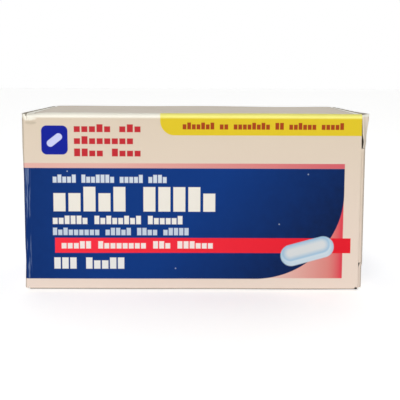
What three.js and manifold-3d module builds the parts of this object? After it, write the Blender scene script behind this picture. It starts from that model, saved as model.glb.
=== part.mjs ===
// A folding carton of caplets, modelled as the real pack is made, in millimetres.
// The carton is one die-cut board, folded into a sleeve with four dust flaps and closed by a tucked flap
// at each end. The left flap is hinged on the front panel and the right one on the back panel. Inside lies
// a blow-moulded bottle with its label, a foil seal over the mouth, and a two-piece push-and-turn cap.
// +X runs along the carton to its right end, +Y to the back and +Z up. The origin is the middle of the
// base.
import * as THREE from "three";
import { mergeVertices } from "three/addons/utils/BufferGeometryUtils.js";
import Module from "manifold-3d";

const wasm = await Module();
wasm.setup();

// The bottle, and the room that the carton leaves round it
const bottleDiameter = 46;
const bottleHeight = 91;
const headRoom = 5.3;
const endClearance = 0.8;
const sideClearance = 0.8;
const bottleClearance = 0.3;

// Carton board, and the outside radius of a fold
const board = 0.45;
const foldRadius = 0.9;
const glueLapWidth = 12;
const glueLapEndCut = 3;
const glueLine = 0.05;
const lapEdgeInset = 0.4;

// End closures
const hingeGap = 0.3;
const closingRelief = 0.5;
const tuckLength = 11;
const tuckCornerRadius = 8;
const tuckRelief = 0.9;
const tuckGap = 0.3;
const upperSlit = 10;
const lowerSlit = 8;
const slitWidth = 0.8;
const shoulderInset = 0.3;
const dustFlapLength = 19;
const dustFlapGap = 0.3;
const dustShoulder = 8;
const dustTuckTaper = 5;
const dustHingeTaper = 3;
const dustHingeInset = 1.5;
const dustTuckInset = 0.6;

// Bottle, label and neck
const heelRadius = 4;
const pushUpRadius = 16;
const pushUpDepth = 1.6;
const labelStart = 8;
const labelShoulderGap = 8.5;
const labelRecess = 0.35;
const recessLead = 0.8;
const labelThickness = 0.2;
const labelGap = 0.08;
const labelMargin = 0.6;
const labelOpening = 7;
const shoulderHeight = 11;
const shoulderWidth = 5.8;
const neckHeight = 13.5;
const beadDepth = 1.2;
const beadRise = 1.6;
const beadSlope = 0.8;
const beadFace = 0.8;

// Thread of the neck and of the inner cap
const threadPitch = 4.2;
const threadDepth = 1.1;
const threadWidth = 1.7;
const threadTurns = 1.4;
const threadStart = 5.2;
const threadPlay = 0.35;
const threadRunOut = 1 / 6;
const threadEndShare = 0.15;

// Closure
const foilThickness = 0.3;
const linerThickness = 0.8;
const stackGap = 0.1;
const innerCapWall = 1.1;
const innerCapSkirt = 12.2;
const capPlay = 0.35;
const capLift = 1.1;
const outerCapWall = 0.9;
const outerCapDrop = 1.2;
const snapBeadReach = 0.3;
const snapBeadGap = 0.3;
const ratchetTeeth = 8;
const ratchetRadius = 14;
const ratchetHeight = 0.5;
const ratchetLength = 4;
const ratchetWidth = 1.8;
const ratchetRoot = 0.1;
const gripRibs = 60;
const gripRibDepth = 0.35;
const gripRibWidth = 0.8;
const gripStart = 1.4;
const gripEnd = 2.6;
const capEdgeRadius = 1.2;
const capRimWidth = 3.6;
const capDishSlope = 0.48;
const capDishDepth = 0.4;

// How finely curves are divided, and how far a cutting solid runs past what it cuts
const roundSegments = 60;
const foldSegments = 5;
const shoulderSegments = 8;
const capEdgeSegments = 4;
const overrun = 1;
const quarterTurn = Math.PI / 2;
const cornerGrid = 1 / 4096;

// A closed geometry as a solid that can be joined and cut. Its corners are rounded to a fine grid, so that
// faces which are meant to lie in one plane do.
function solidOf(geometry) {
  const bare = geometry.index ? geometry.toNonIndexed() : geometry.clone();
  bare.deleteAttribute("normal");
  bare.deleteAttribute("uv");
  const corners = bare.attributes.position.array;
  corners.forEach((value, i) => (corners[i] = Math.round(value / cornerGrid) * cornerGrid));
  const merged = mergeVertices(bare, cornerGrid / 2);
  return new wasm.Manifold(
    new wasm.Mesh({
      numProp: 3,
      vertProperties: merged.attributes.position.array,
      triVerts: new Uint32Array(merged.index.array),
    }),
  );
}

function geometryOf(solid) {
  const mesh = solid.getMesh();
  const geometry = new THREE.BufferGeometry();
  geometry.setAttribute("position", new THREE.BufferAttribute(mesh.vertProperties, 3));
  geometry.setIndex(new THREE.BufferAttribute(mesh.triVerts, 1));
  geometry.computeVertexNormals();
  return geometry;
}

// A flat outline drawn in the plane across an axis, as a prism between two places on that axis. Across X
// the outline is (y, z), across Y it is (x, z) and across Z it is (x, y).
function prism(outline, axis, from, to) {
  const shape = outline instanceof THREE.Shape ? outline : new THREE.Shape(outline);
  const depth = to - from;
  const settings = { depth, bevelEnabled: false, curveSegments: foldSegments };
  const geometry = new THREE.ExtrudeGeometry(shape, settings);
  const x = new THREE.Vector3(1, 0, 0);
  const y = new THREE.Vector3(0, 1, 0);
  const z = new THREE.Vector3(0, 0, 1);
  const turned = new THREE.Matrix4();
  if (axis === "x") turned.makeBasis(y, z, x).setPosition(from, 0, 0);
  if (axis === "y") turned.makeBasis(x, z, y.clone().negate()).setPosition(0, to, 0);
  if (axis === "z") turned.makeBasis(x, y, z).setPosition(0, 0, from);
  return solidOf(geometry.applyMatrix4(turned));
}

function block(x0, x1, y0, y1, z0, z1) {
  const geometry = new THREE.BoxGeometry(x1 - x0, y1 - y0, z1 - z0);
  return solidOf(geometry.translate((x0 + x1) / 2, (y0 + y1) / 2, (z0 + z1) / 2));
}

// The section of a folded board: a walk along its outside face, which lies on the right hand, with every
// fold turning left. A step is { ahead: length } or { fold: angle }.
function boardSection(start, heading, steps) {
  const outside = [];
  const inside = [];
  let [u, v] = start;
  let angle = heading;
  const mark = (centreU, centreV, radius, at) => {
    outside.push(new THREE.Vector2(centreU + radius * Math.sin(at), centreV - radius * Math.cos(at)));
    const inner = radius - board;
    inside.push(new THREE.Vector2(centreU + inner * Math.sin(at), centreV - inner * Math.cos(at)));
  };
  const centre = () => [u - foldRadius * Math.sin(angle), v + foldRadius * Math.cos(angle)];
  mark(...centre(), foldRadius, angle);
  for (const step of steps) {
    if (step.ahead) {
      u += step.ahead * Math.cos(angle);
      v += step.ahead * Math.sin(angle);
      mark(...centre(), foldRadius, angle);
    } else {
      const [cu, cv] = centre();
      for (let i = 1; i <= foldSegments; i++) {
        mark(cu, cv, foldRadius, angle + (step.fold * i) / foldSegments);
      }
      angle += step.fold;
      u = cu + foldRadius * Math.sin(angle);
      v = cv - foldRadius * Math.cos(angle);
    }
  }
  return [...outside, ...inside.reverse()];
}

// The carton's outside sizes, worked out from the bottle that it holds. One tuck lies behind the bottle,
// and it leans in so far that its free edge clears the front panel as it swings out.
const bottleRadius = bottleDiameter / 2;
const sealStack = foilThickness + linerThickness + 3 * stackGap;
const capStack = innerCapWall + capLift + ratchetHeight + outerCapWall;
const endRoom = endClearance + 2 * board + dustFlapGap;
const cartonLength = bottleHeight + sealStack + capStack + 2 * endRoom;
const cartonHeight = 2 * board + bottleClearance + bottleDiameter + headRoom;
const tuckFreeEdge = 2 * board + bottleClearance + bottleDiameter + sideClearance;
const tuckSwing = Math.hypot(tuckFreeEdge, tuckLength);
const tuckDrop = tuckSwing - tuckFreeEdge;
const tuckLean = Math.atan2(tuckDrop, tuckLength);
const tuckRoom = tuckGap + tuckDrop + board;
const cartonDepth = tuckSwing + tuckGap + board;

// Places that the carton's pieces share
const halfLength = cartonLength / 2;
const halfDepth = cartonDepth / 2;
const panelEnd = halfLength - foldRadius - hingeGap;
const dustFlapFace = halfLength - board - dustFlapGap;

// The sleeve's walls: glue lap, back, top, front and bottom panels in one strip of board
function sleeveWalls() {
  const lapFace = board + glueLine;
  const fold = { fold: quarterTurn };
  const section = boardSection([halfDepth - glueLapWidth, lapFace], 0, [
    { ahead: glueLapWidth - foldRadius },
    fold,
    { ahead: cartonHeight - lapFace - 2 * foldRadius },
    fold,
    { ahead: cartonDepth - 2 * foldRadius },
    fold,
    { ahead: cartonHeight - 2 * foldRadius },
    fold,
    { ahead: cartonDepth - foldRadius - lapEdgeInset },
  ]);
  let walls = prism(section, "x", -panelEnd, panelEnd);
  const lapTop = lapFace + board + glueLine;
  for (const side of [-1, 1]) {
    const lapEnd = [
      [side * (panelEnd + overrun), halfDepth - glueLapWidth - overrun],
      [side * (panelEnd - 2 * glueLapEndCut), halfDepth - glueLapWidth - overrun],
      [side * (panelEnd - glueLapEndCut), halfDepth - foldRadius],
      [side * (panelEnd + overrun), halfDepth - foldRadius],
    ].map(([x, y]) => new THREE.Vector2(x, y));
    walls = walls.subtract(prism(lapEnd, "z", board + glueLine / 2, lapTop));
  }
  return walls;
}

// A dust flap's outline seen along the carton. side is 1 at the right end, where the tuck goes in at the
// front, and -1 at the left end, where it goes in at the back. level is 1 for the top panel and -1 for the
// bottom one.
function dustFlapOutline(side, level) {
  const root = level > 0 ? cartonHeight + overrun : -overrun;
  const place = (down) => (level > 0 ? cartonHeight - down : down);
  const tuckEdge = halfDepth - board - tuckRoom - dustTuckInset;
  const hingeEdge = halfDepth - dustHingeInset;
  return [
    [-side * tuckEdge, root],
    [-side * tuckEdge, place(dustShoulder)],
    [-side * (tuckEdge - dustTuckTaper), place(dustFlapLength)],
    [side * (hingeEdge - dustHingeTaper), place(dustFlapLength)],
    [side * hingeEdge, place(dustHingeInset + board)],
    [side * hingeEdge, root],
  ].map(([y, z]) => new THREE.Vector2(y, z));
}

// The top or the bottom panel's strip of board, folded at both ends for its dust flaps
function dustFlapStrip(level) {
  const drop = dustFlapLength - foldRadius;
  const tip = level > 0 ? cartonHeight - dustFlapLength : dustFlapLength;
  const section = boardSection([level * dustFlapFace, tip], level * quarterTurn, [
    { ahead: drop },
    { fold: quarterTurn },
    { ahead: 2 * (dustFlapFace - foldRadius) },
    { fold: quarterTurn },
    { ahead: drop },
  ]);
  return prism(section, "y", -halfDepth, halfDepth);
}

// The four dust flaps take over from the walls where their folds begin
function cartonSleeve() {
  const foldStart = dustFlapFace - foldRadius;
  let sleeve = sleeveWalls();
  for (const level of [-1, 1]) {
    const strip = dustFlapStrip(level);
    for (const side of [-1, 1]) {
      const reach = [side * foldStart, side * (halfLength + overrun)].sort((a, b) => a - b);
      const zone = prism(dustFlapOutline(side, level), "x", ...reach);
      sleeve = sleeve.subtract(zone).add(strip.intersect(zone));
    }
  }
  return sleeve;
}

// The right end flap: closing panel, hinged on the back panel, with its tuck inside the front panel. The
// fold of the tuck is slit at both ends, which leaves a shoulder of the closing panel on each side of it.
function endFlap() {
  const rootY = -halfDepth + board + tuckGap + foldRadius;
  const tuckRoot = [
    halfLength - foldRadius - foldRadius * Math.sin(tuckLean),
    rootY - foldRadius * Math.cos(tuckLean),
  ];
  const tip = [
    tuckRoot[0] - tuckLength * Math.cos(tuckLean),
    tuckRoot[1] + tuckLength * Math.sin(tuckLean),
  ];
  const section = boardSection(tip, -tuckLean, [
    { ahead: tuckLength },
    { fold: quarterTurn + tuckLean },
    { ahead: halfDepth - foldRadius - rootY },
    { fold: quarterTurn },
  ]);
  let flap = prism(section, "z", closingRelief, cartonHeight - closingRelief);
  const edges = [
    { slitEnd: lowerSlit, low: -overrun, high: board + tuckRelief, root: closingRelief },
    {
      slitEnd: cartonHeight - upperSlit,
      low: cartonHeight - board - tuckRelief,
      high: cartonHeight + overrun,
      root: cartonHeight - closingRelief,
    },
  ];
  const slitFace = halfLength - board - slitWidth;
  for (const { slitEnd, low, high, root } of edges) {
    const zone = [root, slitEnd].sort((a, b) => a - b);
    const slitLow = Math.min(zone[0], low);
    const slitHigh = Math.max(zone[1], high);
    const slit = block(slitFace, halfLength + overrun, -halfDepth, rootY, slitLow, slitHigh);
    const tuckSide = block(0, slitFace + board, -halfDepth, rootY + tuckDrop + board, low, high);
    const shoulderFront = -halfDepth + shoulderInset;
    const shoulder = block(halfLength - board, halfLength, shoulderFront, rootY, ...zone);
    flap = flap.subtract(slit).subtract(tuckSide).add(shoulder);
  }
  return flap.subtract(tuckCorners(slitFace - tuckLength));
}

// What the round corners take off the tuck's free edge
function tuckCorners(freeEdge) {
  const low = board + tuckRelief;
  const high = cartonHeight - board - tuckRelief;
  const corner = (edge, inward) => {
    const shape = new THREE.Shape();
    shape.moveTo(freeEdge - overrun, edge - inward * overrun);
    shape.lineTo(freeEdge + tuckCornerRadius, edge - inward * overrun);
    shape.lineTo(freeEdge + tuckCornerRadius, edge);
    shape.absarc(
      freeEdge + tuckCornerRadius,
      edge + inward * tuckCornerRadius,
      tuckCornerRadius,
      inward > 0 ? -quarterTurn : quarterTurn,
      inward > 0 ? -Math.PI : Math.PI,
      inward > 0,
    );
    shape.lineTo(freeEdge - overrun, edge + inward * tuckCornerRadius);
    return prism(shape, "y", -halfDepth, -halfDepth + tuckRoom + board + overrun);
  };
  return corner(low, 1).add(corner(high, -1));
}

// A solid turned round the Y axis from [radius, height] points, with the profile closed on the axis
function turned(profile, segments = roundSegments) {
  const points = profile.map(([radius, height]) => new THREE.Vector2(radius, height));
  return solidOf(new THREE.LatheGeometry(points, segments));
}

function arcPoints(centreRadius, centreHeight, radius, from, to, count = foldSegments) {
  return Array.from({ length: count + 1 }, (_, i) => {
    const angle = from + ((to - from) * i) / count;
    return [centreRadius + radius * Math.cos(angle), centreHeight + radius * Math.sin(angle)];
  });
}

// One start of a screw thread: a tapered rib that climbs round the Y axis. outward is 1 on a neck and -1
// in a cap.
function threadRib(radius, outward, start) {
  const steps = Math.round(roundSegments * threadTurns);
  const positions = [];
  const index = [];
  const halfWidth = threadWidth / 2;
  for (let i = 0; i <= steps; i++) {
    const share = i / steps;
    const angle = share * threadTurns * 2 * Math.PI;
    const height = start + share * threadTurns * threadPitch;
    const fromEnd = Math.min(share, 1 - share);
    const fade = Math.min(1, fromEnd / threadRunOut + threadEndShare);
    const crest = radius + outward * threadDepth * fade;
    const rootRadius = radius - outward * threadPlay;
    const section = [
      [rootRadius, height - halfWidth],
      [crest, height - halfWidth / 2],
      [crest, height + halfWidth / 2],
      [rootRadius, height + halfWidth],
    ];
    for (const [r, y] of section) positions.push(r * Math.sin(angle), y, r * Math.cos(angle));
  }
  const quad = (a, b, c, d) => index.push(...(outward > 0 ? [a, b, c, a, c, d] : [a, c, b, a, d, c]));
  for (let i = 0; i < steps; i++) {
    for (let k = 0; k < 4; k++) {
      const next = (k + 1) % 4;
      quad(4 * i + k, 4 * (i + 1) + k, 4 * (i + 1) + next, 4 * i + next);
    }
  }
  quad(0, 1, 2, 3);
  quad(4 * steps + 3, 4 * steps + 2, 4 * steps + 1, 4 * steps);
  const geometry = new THREE.BufferGeometry();
  geometry.setAttribute("position", new THREE.Float32BufferAttribute(positions, 3));
  geometry.setIndex(index);
  return solidOf(geometry);
}

// The bottle stands on the Y axis here. It is filled and sealed, so it is solid behind its outside.
const neckRadius = bottleRadius - shoulderWidth;
const neckBase = bottleHeight - neckHeight;
const shoulderStart = neckBase - shoulderHeight;
const labelEnd = shoulderStart - labelShoulderGap;
function bottle() {
  const recess = bottleRadius - labelRecess;
  const rise = shoulderHeight / shoulderWidth;
  const shoulder = arcPoints(
    neckRadius,
    shoulderStart,
    shoulderWidth,
    0,
    quarterTurn,
    shoulderSegments,
  );
  const bead = neckBase + beadRise;
  const body = turned([
    [0, pushUpDepth],
    [pushUpRadius - pushUpDepth, pushUpDepth],
    [pushUpRadius, 0],
    ...arcPoints(bottleRadius - heelRadius, heelRadius, heelRadius, -quarterTurn, 0),
    [bottleRadius, labelStart - recessLead],
    [recess, labelStart],
    [recess, labelEnd],
    [bottleRadius, labelEnd + recessLead],
    ...shoulder.map(([r, y]) => [r, shoulderStart + (y - shoulderStart) * rise]),
    [neckRadius, bead],
    [neckRadius + beadDepth, bead + beadSlope],
    [neckRadius + beadDepth, bead + beadSlope + beadFace],
    [neckRadius, bead + 2 * beadSlope + beadFace],
    [neckRadius, bottleHeight],
    [0, bottleHeight],
  ]);
  return body.add(threadRib(neckRadius, 1, neckBase + threadStart));
}

// The wrap-round label in its recess, with a bare strip where its ends nearly meet
function bottleLabel() {
  const inner = bottleRadius - labelRecess + labelGap;
  const low = labelStart + labelMargin;
  const high = labelEnd - labelMargin;
  const outer = inner + labelThickness;
  const sleeve = turned([[inner, low], [outer, low], [outer, high], [inner, high], [inner, low]]);
  const half = labelOpening / 2;
  return sleeve.subtract(block(-half, half, 0, bottleHeight, 0, bottleRadius + overrun));
}

// The mouth's stack: foil bonded to the rim, then the pulp disc that stays in the cap
const foilFace = bottleHeight + stackGap;
const linerFace = foilFace + foilThickness + stackGap;
const innerCapCeiling = linerFace + linerThickness + stackGap;
const threadCrest = neckRadius + threadDepth;
const innerCapBore = threadCrest + threadPlay;
const innerCapRadius = innerCapBore + innerCapWall;
const innerCapTop = innerCapCeiling + innerCapWall;

function disc(radius, from, thickness) {
  return turned([[0, from], [radius, from], [radius, from + thickness], [0, from + thickness]]);
}

// The ratchet's teeth, which catch only while the outer cap is pressed down
function ratchet(from, height) {
  let ring = null;
  for (let i = 0; i < ratchetTeeth; i++) {
    const tooth = new THREE.BoxGeometry(ratchetLength, height, ratchetWidth);
    tooth.translate(0, from + height / 2, ratchetRadius);
    tooth.rotateY((i * 2 * Math.PI) / ratchetTeeth);
    ring = ring ? ring.add(solidOf(tooth)) : solidOf(tooth);
  }
  return ring;
}

function innerCap() {
  const skirt = innerCapCeiling - innerCapSkirt;
  const edge = arcPoints(
    innerCapRadius - innerCapWall,
    innerCapTop - innerCapWall,
    innerCapWall,
    0,
    quarterTurn,
    capEdgeSegments,
  );
  const cup = turned([
    [0, innerCapCeiling],
    [innerCapBore, innerCapCeiling],
    [innerCapBore, skirt],
    [innerCapRadius, skirt],
    ...edge,
    [0, innerCapTop],
  ]);
  const threadBottom = neckBase + threadStart + threadPitch / 2;
  return cup
    .add(threadRib(innerCapBore, -1, threadBottom))
    .add(ratchet(innerCapTop - ratchetRoot, ratchetHeight + ratchetRoot));
}

// The outer cap: a ribbed shell that turns freely round the inner cap until it is pressed down. The bead
// inside its skirt snaps under the inner cap and keeps the two together.
const outerCapBore = innerCapRadius + capPlay;
const outerCapRadius = outerCapBore + outerCapWall;
const outerCapCeiling = innerCapTop + capLift + ratchetHeight;
const outerCapTop = outerCapCeiling + outerCapWall;
function outerCap() {
  const innerSkirt = innerCapCeiling - innerCapSkirt;
  const skirt = innerSkirt - outerCapDrop;
  const edge = arcPoints(
    outerCapRadius - capEdgeRadius,
    outerCapTop - capEdgeRadius,
    capEdgeRadius,
    0,
    quarterTurn,
    capEdgeSegments,
  );
  const dish = outerCapRadius - capRimWidth;
  let shell = turned([
    [0, outerCapCeiling],
    [outerCapBore, outerCapCeiling],
    [outerCapBore, innerSkirt - snapBeadGap],
    [innerCapRadius - snapBeadReach, innerSkirt - snapBeadGap],
    [outerCapBore, skirt],
    [outerCapRadius, skirt],
    ...edge,
    [dish, outerCapTop],
    [dish - capDishSlope, outerCapTop - capDishDepth],
    [0, outerCapTop - capDishDepth],
  ]);
  const low = skirt + gripStart;
  const high = outerCapTop - gripEnd;
  for (let i = 0; i < gripRibs; i++) {
    const rib = new THREE.BoxGeometry(gripRibWidth, high - low, 2 * gripRibDepth);
    rib.translate(0, (low + high) / 2, outerCapRadius);
    rib.rotateY(((i + 0.5) * 2 * Math.PI) / gripRibs);
    shell = shell.add(solidOf(rib));
  }
  return shell.add(ratchet(outerCapCeiling - ratchetHeight, ratchetHeight + ratchetRoot));
}

// Colours and finishes
const coated = new THREE.MeshStandardMaterial({ color: 0xe6dccb, roughness: 0.45, metalness: 0 });
const whiteResin = new THREE.MeshStandardMaterial({ color: 0xf2f1ec, roughness: 0.4, metalness: 0 });
const capResin = new THREE.MeshStandardMaterial({ color: 0xf5f5f2, roughness: 0.5, metalness: 0 });
const foil = new THREE.MeshStandardMaterial({ color: 0xb8babd, roughness: 0.25, metalness: 1 });
const pulp = new THREE.MeshStandardMaterial({ color: 0xd9cfba, roughness: 0.9, metalness: 0 });
const labelPaper = new THREE.MeshStandardMaterial({ color: 0x17386f, roughness: 0.4, metalness: 0 });

function piece(name, solid, material) {
  const mesh = new THREE.Mesh(geometryOf(solid), material);
  mesh.name = name;
  return mesh;
}

const root = new THREE.Group();
root.add(piece("carton_sleeve", cartonSleeve(), coated));

const flapSolid = endFlap();
const rightFlap = piece("right_end_flap", flapSolid, coated);
const leftFlap = piece("left_end_flap", flapSolid, coated);
leftFlap.rotation.z = Math.PI;
root.add(rightFlap, leftFlap);

// The bottle lies with its cap to the right, clear of both tucks, on the bottom panel
const pack = new THREE.Group();
pack.add(
  piece("bottle", bottle(), whiteResin),
  piece("bottle_label", bottleLabel(), labelPaper),
  piece("foil_seal", disc(neckRadius, foilFace, foilThickness), foil),
  piece("cap_liner", disc(neckRadius, linerFace, linerThickness), pulp),
  piece("inner_cap", innerCap(), capResin),
  piece("outer_cap", outerCap(), capResin),
);
pack.rotation.z = -quarterTurn;
pack.position.set(
  -dustFlapFace + board + endClearance,
  halfDepth - board - tuckRoom - bottleClearance - bottleRadius,
  board + bottleClearance + bottleRadius,
);
root.add(pack);

export default root;
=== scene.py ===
"""A folding carton of caplets, dressed for the camera. Sizes in the sections are in millimetres, as a
carton maker's drawing has them, and each finished piece is scaled to metres."""

import math

import bmesh
import bpy
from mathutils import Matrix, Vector, noise


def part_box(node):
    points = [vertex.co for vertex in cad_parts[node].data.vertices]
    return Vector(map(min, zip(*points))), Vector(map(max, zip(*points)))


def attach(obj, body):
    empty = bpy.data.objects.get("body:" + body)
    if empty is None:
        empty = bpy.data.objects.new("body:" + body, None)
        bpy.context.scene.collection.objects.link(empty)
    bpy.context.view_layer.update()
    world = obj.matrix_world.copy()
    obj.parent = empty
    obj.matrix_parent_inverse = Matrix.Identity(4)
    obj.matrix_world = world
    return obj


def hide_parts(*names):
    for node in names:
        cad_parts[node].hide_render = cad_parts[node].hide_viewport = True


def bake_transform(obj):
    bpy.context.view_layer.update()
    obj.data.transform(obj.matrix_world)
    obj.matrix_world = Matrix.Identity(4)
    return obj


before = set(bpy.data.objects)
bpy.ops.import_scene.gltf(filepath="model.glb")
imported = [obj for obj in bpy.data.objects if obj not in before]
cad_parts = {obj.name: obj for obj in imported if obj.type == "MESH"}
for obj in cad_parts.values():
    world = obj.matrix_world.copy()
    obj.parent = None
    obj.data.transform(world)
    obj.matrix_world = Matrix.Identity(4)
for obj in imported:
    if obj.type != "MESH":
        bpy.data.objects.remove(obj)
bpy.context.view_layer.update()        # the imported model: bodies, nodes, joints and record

# The carton board. White board of 0.45 mm, clay-coated and printed outside and plain inside. Each blank is
# cut flat and then folded. Every cut edge shows the raw white core.
METRE = 0.001
BOARD = 0.45
FOLD_RADIUS = 0.9
FOLD_STEPS = 8
CREASE_WIDTH = 0.3
sleeve_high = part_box("carton_sleeve")[1] / METRE
HALF_DEPTH = sleeve_high.y
HEIGHT = sleeve_high.z
HALF_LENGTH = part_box("right_end_flap")[1].x / METRE
PANEL_END = HALF_LENGTH - FOLD_RADIUS - CREASE_WIDTH


class Wire:
    """A value inside a finish. Arithmetic on it adds Math nodes."""

    def __init__(self, finish, socket):
        self.finish, self.socket = finish, socket

    def math(self, operation, *values, clamp=False):
        return self.finish.node("ShaderNodeMath", {"operation": operation, "use_clamp": clamp}, *values)

    def __add__(self, other):
        return self.math("ADD", self, other)

    def __sub__(self, other):
        return self.math("SUBTRACT", self, other)

    def __rsub__(self, other):
        return self.math("SUBTRACT", other, self)

    def __mul__(self, other):
        return self.math("MULTIPLY", self, other)

    def __truediv__(self, other):
        return self.math("DIVIDE", self, other)

    __radd__ = __add__
    __rmul__ = __mul__

    def size(self):
        return self.math("ABSOLUTE", self)

    def whole(self):
        return self.math("FLOOR", self)

    def over(self, other):
        return self.math("GREATER_THAN", self, other)

    def equals(self, other):
        return self.math("COMPARE", self, other, 0.5)

    def at_least(self, other):
        return self.math("MAXIMUM", self, other)

    def at_most(self, other):
        return self.math("MINIMUM", self, other)

    def power(self, exponent):
        return self.math("POWER", self, exponent)

    def clamped(self):
        return self.math("ADD", self, 0.0, clamp=True)

    def from_to(self, start, end):
        """0 where the value is start and 1 where it is end, in a straight line through both."""
        return (self - start) / (end - start)

    def ramp(self, start, end):
        """As from_to, and held between 0 and 1."""
        return self.from_to(start, end).clamped()


class Finish:
    """A procedural material. Settings that are the same all over go on the shader's own sockets."""

    def __init__(self, name, **same_all_over):
        self.material = bpy.data.materials.new(name)
        self.material.use_nodes = True
        self.tree = self.material.node_tree
        self.shader = self.tree.nodes["Principled BSDF"]
        for socket, value in same_all_over.items():
            self.shader.inputs[socket.replace("_", " ")].default_value = value
        place = self.node("ShaderNodeTexCoord", {}, output="Object")
        self.place = self.node("ShaderNodeVectorMath", {"operation": "SCALE"}, place, Scale=1 / METRE)
        apart = self.node("ShaderNodeSeparateXYZ", {}, self.place).socket.node
        self.x, self.y, self.z = (Wire(self, output) for output in apart.outputs)

    def node(self, kind, settings, *values, output=0, **named):
        made = self.tree.nodes.new(kind)
        for setting, value in settings.items():
            setattr(made, setting, value)
        for socket, value in [*enumerate(values), *named.items()]:
            target = made.inputs[socket if isinstance(socket, int) else socket.replace("_", " ")]
            if isinstance(value, Wire):
                self.tree.links.new(value.socket, target)
            else:
                target.default_value = value
        return Wire(self, made.outputs[output])

    def mix(self, share, first, second):
        """The first colour, covered by the second as far as share says."""
        mixed = self.node("ShaderNodeMix", {"data_type": "RGBA"}, Factor=share).socket.node
        for socket, value in ((mixed.inputs[6], first), (mixed.inputs[7], second)):
            if isinstance(value, Wire):
                self.tree.links.new(value.socket, socket)
            else:
                socket.default_value = value
        return Wire(self, mixed.outputs[2])

    def grain(self, scale, detail=3.0, stretch=(1.0, 1.0, 1.0)):
        """Noise from 0 to 1 with about scale bumps to a millimetre."""
        stretched = self.node("ShaderNodeVectorMath", {"operation": "MULTIPLY"}, self.place, stretch)
        return self.node("ShaderNodeTexNoise", {}, Vector=stretched, Scale=scale, Detail=detail)

    def feed(self, **sockets):
        for socket, value in sockets.items():
            self.tree.links.new(value.socket, self.shader.inputs[socket.replace("_", " ")])

    def bump(self, height, strength, distance):
        """Raises the surface where height is 1, by about distance."""
        raised = self.node("ShaderNodeBump", {}, Strength=strength, Distance=distance * METRE, Height=height)
        self.feed(Normal=raised)


def ink(code):
    """A printed colour from its hexadecimal code, made linear."""
    shares = [int(code[i : i + 2], 16) / 255 for i in (0, 2, 4)]
    return (*(s / 12.92 if s <= 0.04045 else ((s + 0.055) / 1.055) ** 2.4 for s in shares), 1.0)


raw_edge = Finish("raw board edge", Roughness=0.9, Specular_IOR_Level=0.2)
fibres = raw_edge.grain(2.2, detail=5.0)
raw_edge.feed(Base_Color=raw_edge.mix(fibres, ink("c4bdb0"), ink("ece7dd")))
raw_edge.bump(fibres, strength=0.4, distance=0.08)

board_inside = Finish("uncoated board inside", Roughness=0.85, Specular_IOR_Level=0.25)
pulp = board_inside.grain(0.35, detail=6.0, stretch=(1.0, 1.0, 0.5))
flecks = board_inside.grain(3.0, detail=2.0)
plain_inside = board_inside.mix(pulp, ink("bfb8aa"), ink("d6d0c4"))
board_inside.feed(Base_Color=board_inside.mix(flecks.ramp(0.62, 0.82), plain_inside, ink("a09785")))
board_inside.bump(flecks, strength=0.3, distance=0.05)


# The print. Inks under a thin varnish: a cream ground, and a salmon stripe over a blue field, which go round
# the fold to the end flap. The front also has a yellow banner, a red bar, a coral corner, a picture of a
# caplet and rows of plain blocks.
STRIPE_TOP, FIELD_TOP, FIELD_BOTTOM = 37.9, 36.45, 3.36
FIELD_RIGHT = 44.1
FIELD_CORNER = (18.0, 29.0)
PRINT_EDGE = 0.16
STRIPE_REDDENS = (-28.0, 42.0)
DEEPENS_RIGHT, DEEPENS_LEFT, DEEPENS_DOWN = (-2.0, 44.0), (-28.0, -88.0), (20.0, -40.0)


def inside(distance, softness=PRINT_EDGE):
    """1 inside an edge and 0 outside it, from a point's distance to the inside of it."""
    return (distance / softness + 0.5).clamped()


def panel(x, z, left, right, bottom, top, corner=0.0):
    """How far inside a rectangle with round corners a point lies."""
    middle, level = (left + right) / 2, (bottom + top) / 2
    over = (x - middle).size() - ((right - left) / 2 - corner)
    up = (z - level).size() - ((top - bottom) / 2 - corner)
    outside = (over.at_least(0.0).power(2.0) + up.at_least(0.0).power(2.0)).power(0.5)
    return corner - outside - over.at_least(up).at_most(0.0)


def varnished(name):
    """Board under a thin varnish that is a little uneven in gloss and not quite flat."""
    finish = Finish(name, Specular_IOR_Level=0.08)
    gloss = finish.grain(0.12, detail=3.0)
    finish.feed(Roughness=0.3 + gloss * 0.14)
    finish.bump(finish.grain(1.6, detail=3.0), strength=0.1, distance=0.05)
    return finish


def cream(finish):
    """The ground, with painted light that makes it warmer and lighter towards the foot, faint clouds and a
    fine mottle.
    """
    foot_light = finish.mix(finish.z.ramp(0.0, HEIGHT), ink("eddace"), ink("d8c8b3"))
    clouds = finish.mix(finish.grain(0.05, detail=4.0) * 0.35, foot_light, ink("e6d8c2"))
    mottle = finish.grain(2.4, detail=1.0).ramp(0.7, 0.95)
    return finish.mix(mottle, clouds, ink("cdbda6"))


def blue_ink(finish, along):
    """Blue that deepens towards the right, the foot and the left end."""
    deep = along.from_to(*DEEPENS_RIGHT) + finish.z.from_to(*DEEPENS_DOWN)
    deep = deep.at_least(along.from_to(*DEEPENS_LEFT)).clamped()
    blue = finish.mix(deep, ink("03347c"), ink("021336"))
    return finish.mix(finish.grain(0.5, detail=2.0) * 0.3, blue, ink("0b3b86"))


def field_share(finish, along):
    """1 on the blue field, whose lower corner is a quarter of an ellipse."""
    across, level = FIELD_CORNER
    width, drop = FIELD_RIGHT - across, level - FIELD_BOTTOM
    reach = ((along - across).at_least(0.0) / width).power(2.0)
    reach = reach + ((level - finish.z).at_least(0.0) / drop).power(2.0)
    return inside((1 - reach.power(0.5)) * drop) * inside(FIELD_TOP - finish.z)


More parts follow.
